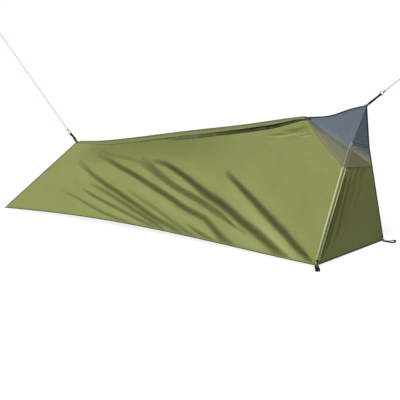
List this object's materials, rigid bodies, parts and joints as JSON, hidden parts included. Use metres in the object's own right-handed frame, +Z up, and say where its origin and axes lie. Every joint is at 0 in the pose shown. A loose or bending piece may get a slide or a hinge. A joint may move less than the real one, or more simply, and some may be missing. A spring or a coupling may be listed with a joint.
{
  "type": "one-person tent",
  "caption": "Low wedge-shaped tent for one person, with a sewn floor, a see-through mesh peak and a zipped head end, hung between two taut guy lines.",
  "frame": {"origin": "on the ground, at the middle of the footprint's box without the guy lines", "axes": "+X along the ridge from the foot to the head, +Z up, and the side that carries the zip faces -Y"},
  "size_m": [3.0637, 0.783, 1.0944],
  "materials": {
    "cloth": "matte woven, olive",
    "seam_cloth": "matte, dark olive",
    "piping": "satin, pale olive",
    "mesh": "fine see-through mesh, blue grey",
    "floor": "coated, dark",
    "webbing": "matte, black",
    "bar_tack": "stitched, grey",
    "zip_coil": "satin, dark olive",
    "zip_metal": "satin, dark",
    "guy_cord": "braided, pale red"
  },
  "bodies": {
    "shelter": {"groundsheet": "floor", "near_side_panel": "cloth", "far_side_panel": "cloth", "foot_end_panel": "cloth", "near_mesh_panel": "mesh", "far_mesh_panel": "mesh", "head_mesh_cap": "mesh", "ridge_cover": "cloth", "ridge_webbing": "webbing", "near_hem_binding": "seam_cloth", "far_hem_binding": "seam_cloth", "foot_hem_binding": "seam_cloth", "door_sill_binding": "seam_cloth", "near_foot_edge_binding": "seam_cloth", "far_foot_edge_binding": "seam_cloth", "far_head_edge_binding": "seam_cloth", "near_head_edge_binding": "mesh", "near_mesh_seam_tape": "seam_cloth", "far_mesh_seam_tape": "seam_cloth", "near_foot_corner_patch": "webbing", "far_foot_corner_patch": "webbing", "near_head_corner_patch": "webbing", "far_head_corner_patch": "webbing", "foot_apex_patch": "seam_cloth", "head_apex_patch": "seam_cloth", "side_zip_tape": "seam_cloth", "side_zip_coil": "zip_coil", "side_zip_piping": "piping", "zip_top_stop": "zip_metal", "head_guy_tab": "webbing", "foot_guy_tab": "webbing", "head_guy_knot": "guy_cord", "head_guy_line": "guy_cord", "head_guy_end_loop": "guy_cord", "foot_guy_knot": "guy_cord", "foot_guy_line": "guy_cord", "foot_guy_end_loop": "guy_cord"},
    "door": {"door_panel": "cloth", "door_mesh_panel": "mesh", "door_mesh_seam_tape": "seam_cloth", "door_hem_binding": "seam_cloth", "door_zip_tape": "seam_cloth", "door_zip_coil": "zip_coil", "door_zip_piping": "piping"},
    "zip_slider": {"zip_slider": "zip_metal"},
    "zip_pull": {"zip_pull": "zip_coil"},
    "near_head_loop": {"near_head_peg_loop": "webbing", "near_head_loop_tack": "bar_tack"},
    "far_head_loop": {"far_head_peg_loop": "webbing", "far_head_loop_tack": "bar_tack"},
    "foot_loop": {"foot_peg_loop": "webbing", "foot_loop_tack": "bar_tack"}
  },
  "joints": [
    {"name": "door_hinge", "type": "hinge", "parent": "shelter", "child": "door", "pos_m": [1.07247, 0.38449, 0.003], "axis": [0.0597, -0.389, 0.9193], "range_deg": [0, 110]},
    {"name": "zip_slide", "type": "slide", "parent": "shelter", "child": "zip_slider", "axis": [0.061, 0.3931, 0.9175], "range_m": [0, 0.595]},
    {"name": "pull_swing", "type": "hinge", "parent": "zip_slider", "child": "zip_pull", "pos_m": [1.0747, -0.29116, 0.07435], "axis": [-0.6969, -0.6413, 0.321], "range_deg": [0, 170]},
    {"name": "near_head_loop_fold", "type": "hinge", "parent": "shelter", "child": "near_head_loop", "pos_m": [1.07724, -0.32184, 0.01376], "axis": [-0.7986, -0.6018, 0], "range_deg": [0, 80]},
    {"name": "far_head_loop_fold", "type": "hinge", "parent": "shelter", "child": "far_head_loop", "pos_m": [1.07971, 0.37049, 0.0038], "axis": [0, -1, 0], "range_deg": [0, 30]},
    {"name": "foot_loop_fold", "type": "hinge", "parent": "shelter", "child": "foot_loop", "pos_m": [-1.16593, 0.03449, 0.0038], "axis": [0, 1, 0], "range_deg": [0, 80]}
  ]
}
